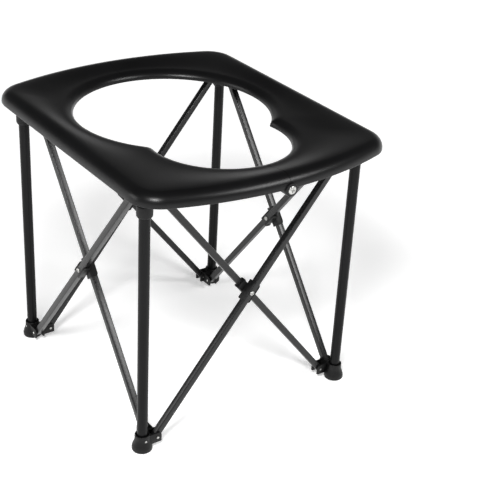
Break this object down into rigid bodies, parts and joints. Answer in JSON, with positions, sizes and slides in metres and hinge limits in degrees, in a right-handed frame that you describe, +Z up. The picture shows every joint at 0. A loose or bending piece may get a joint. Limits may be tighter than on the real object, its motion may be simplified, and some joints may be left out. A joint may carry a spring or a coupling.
{
  "type": "portable camp toilet",
  "caption": "Folding camp toilet: hinged dished plastic seat with a keyhole-shaped opening on a scissor-braced steel frame with telescoping legs.",
  "frame": {"origin": "on the floor under the middle of the seat", "axes": "+Z up, +X to the right of a person who faces the front, -Y the front, where the hole is narrow; the seat's fold line runs along Y"},
  "size_m": [0.334, 0.4188, 0.345],
  "materials": {
    "seat_plastic": "satin black moulded plastic",
    "black_plastic": "matt black moulded plastic",
    "black_steel": "satin black powder coat",
    "inner_steel": "smooth satin black coat",
    "zinc": "bright zinc plate"
  },
  "bodies": {
    "leg_front_left": {"foot_front_left": "black_plastic", "leg_tube_front_left": "black_steel", "collar_front_left": "black_plastic", "foot_pin_front_left_a": "zinc", "foot_pin_front_left_b": "zinc"},
    "head_front_left": {"inner_tube_front_left": "inner_steel", "head_front_left": "black_plastic", "head_pin_front_left_a": "zinc", "head_pin_front_left_b": "zinc"},
    "leg_front_right": {"foot_front_right": "black_plastic", "leg_tube_front_right": "black_steel", "collar_front_right": "black_plastic", "foot_pin_front_right_a": "zinc", "foot_pin_front_right_b": "zinc"},
    "head_front_right": {"inner_tube_front_right": "inner_steel", "head_front_right": "black_plastic", "head_pin_front_right_a": "zinc", "head_pin_front_right_b": "zinc"},
    "leg_back_right": {"foot_back_right": "black_plastic", "leg_tube_back_right": "black_steel", "collar_back_right": "black_plastic", "foot_pin_back_right_a": "zinc", "foot_pin_back_right_b": "zinc"},
    "head_back_right": {"inner_tube_back_right": "inner_steel", "head_back_right": "black_plastic", "head_pin_back_right_a": "zinc", "head_pin_back_right_b": "zinc"},
    "leg_back_left": {"foot_back_left": "black_plastic", "leg_tube_back_left": "black_steel", "collar_back_left": "black_plastic", "foot_pin_back_left_a": "zinc", "foot_pin_back_left_b": "zinc"},
    "head_back_left": {"inner_tube_back_left": "inner_steel", "head_back_left": "black_plastic", "head_pin_back_left_a": "zinc", "head_pin_back_left_b": "zinc"},
    "outer_front": {"brace_outer_front": "black_steel", "saddle_outer_front": "black_plastic", "cross_rivet_front": "zinc"},
    "inner_front": {"brace_inner_front": "black_steel", "saddle_inner_front": "black_plastic"},
    "outer_right": {"brace_outer_right": "black_steel", "saddle_outer_right": "black_plastic", "cross_rivet_right": "zinc"},
    "inner_right": {"brace_inner_right": "black_steel", "saddle_inner_right": "black_plastic"},
    "outer_back": {"brace_outer_back": "black_steel", "saddle_outer_back": "black_plastic", "cross_rivet_back": "zinc"},
    "inner_back": {"brace_inner_back": "black_steel", "saddle_inner_back": "black_plastic"},
    "outer_left": {"brace_outer_left": "black_steel", "saddle_outer_left": "black_plastic", "cross_rivet_left": "zinc"},
    "inner_left": {"brace_inner_left": "black_steel", "saddle_inner_left": "black_plastic"},
    "seat_hinge": {"hinge_bolt_front": "zinc", "hinge_bolt_back": "zinc"},
    "seat_left": {"seat_left": "seat_plastic"},
    "seat_right": {"seat_right": "seat_plastic"}
  },
  "joints": [
    {"name": "frame_fold", "type": "hinge", "parent": "leg_front_left", "child": "outer_front", "pos_m": [-0.1265, -0.144, 0.013], "axis": [0, -1, 0], "range_deg": [0, 35.7]},
    {"name": "crossing_front", "type": "hinge", "parent": "outer_front", "child": "inner_front", "pos_m": [0, -0.138, 0.1705], "axis": [0, 1, 0], "range_deg": [0, 71.5]},
    {"name": "foot_pivot_front_right", "type": "hinge", "parent": "inner_front", "child": "leg_front_right", "pos_m": [0.1265, -0.132, 0.013], "axis": [0, -1, 0], "range_deg": [0, 35.8]},
    {"name": "head_pivot_front_left", "type": "hinge", "parent": "inner_front", "child": "head_front_left", "pos_m": [-0.1265, -0.132, 0.328], "axis": [0, -1, 0], "range_deg": [0, 35.8]},
    {"name": "head_pivot_front_right", "type": "hinge", "parent": "outer_front", "child": "head_front_right", "pos_m": [0.1265, -0.144, 0.328], "axis": [0, 1, 0], "range_deg": [0, 35.8]},
    {"name": "foot_pivot_left", "type": "hinge", "parent": "leg_front_left", "child": "inner_left", "pos_m": [-0.132, -0.1265, 0.013], "axis": [1, 0, 0], "range_deg": [0, 35.8]},
    {"name": "crossing_left", "type": "hinge", "parent": "inner_left", "child": "outer_left", "pos_m": [-0.138, 0, 0.1705], "axis": [-1, 0, 0], "range_deg": [0, 71.5]},
    {"name": "foot_pivot_back_left", "type": "hinge", "parent": "outer_left", "child": "leg_back_left", "pos_m": [-0.144, 0.1265, 0.013], "axis": [1, 0, 0], "range_deg": [0, 35.8]},
    {"name": "head_pivot_back_left", "type": "hinge", "parent": "inner_left", "child": "head_back_left", "pos_m": [-0.132, 0.1265, 0.328], "axis": [-1, 0, 0], "range_deg": [0, 35.8]},
    {"name": "foot_pivot_right", "type": "hinge", "parent": "leg_front_right", "child": "outer_right", "pos_m": [0.144, -0.1265, 0.013], "axis": [1, 0, 0], "range_deg": [0, 35.8]},
    {"name": "crossing_right", "type": "hinge", "parent": "outer_right", "child": "inner_right", "pos_m": [0.138, 0, 0.1705], "axis": [-1, 0, 0], "range_deg": [0, 71.5]},
    {"name": "foot_pivot_back_right", "type": "hinge", "parent": "inner_right", "child": "leg_back_right", "pos_m": [0.132, 0.1265, 0.013], "axis": [1, 0, 0], "range_deg": [0, 35.8]},
    {"name": "head_pivot_back_right", "type": "hinge", "parent": "outer_right", "child": "head_back_right", "pos_m": [0.144, 0.1265, 0.328], "axis": [-1, 0, 0], "range_deg": [0, 35.8]},
    {"name": "foot_pivot_back", "type": "hinge", "parent": "leg_back_left", "child": "inner_back", "pos_m": [-0.1265, 0.132, 0.013], "axis": [0, -1, 0], "range_deg": [0, 35.8]},
    {"name": "crossing_back", "type": "hinge", "parent": "inner_back", "child": "outer_back", "pos_m": [0, 0.138, 0.1705], "axis": [0, 1, 0], "range_deg": [0, 71.5]},
    {"name": "seat_lift", "type": "slide", "parent": "leg_front_left", "child": "seat_hinge", "axis": [0, 0, 1], "range_m": [0, 0.4502]},
    {"name": "seat_fold_left", "type": "hinge", "parent": "seat_hinge", "child": "seat_left", "pos_m": [0, 0, 0.329], "axis": [0, -1, 0], "range_deg": [0, 90]},
    {"name": "seat_fold_right", "type": "hinge", "parent": "seat_hinge", "child": "seat_right", "pos_m": [0, 0, 0.329], "axis": [0, 1, 0], "range_deg": [0, 90]}
  ],
  "couplings": [
    {"joint": "crossing_front", "follows": "frame_fold", "ratio": 2},
    {"joint": "foot_pivot_front_right", "follows": "frame_fold", "ratio": 1},
    {"joint": "head_pivot_front_left", "follows": "frame_fold", "ratio": 1},
    {"joint": "head_pivot_front_right", "follows": "frame_fold", "ratio": 1},
    {"joint": "foot_pivot_left", "follows": "frame_fold", "ratio": 1},
    {"joint": "crossing_left", "follows": "frame_fold", "ratio": 2},
    {"joint": "foot_pivot_back_left", "follows": "frame_fold", "ratio": 1},
    {"joint": "head_pivot_back_left", "follows": "frame_fold", "ratio": 1},
    {"joint": "foot_pivot_right", "follows": "frame_fold", "ratio": 1},
    {"joint": "crossing_right", "follows": "frame_fold", "ratio": 2},
    {"joint": "foot_pivot_back_right", "follows": "frame_fold", "ratio": 1},
    {"joint": "head_pivot_back_right", "follows": "frame_fold", "ratio": 1},
    {"joint": "foot_pivot_back", "follows": "frame_fold", "ratio": 1},
    {"joint": "crossing_back", "follows": "frame_fold", "ratio": 2},
    {"joint": "seat_lift", "follows": "frame_fold", "m_per_rad": 0.7222},
    {"joint": "seat_fold_left", "follows": "frame_fold", "ratio": 2.52},
    {"joint": "seat_fold_right", "follows": "frame_fold", "ratio": 2.52}
  ]
}
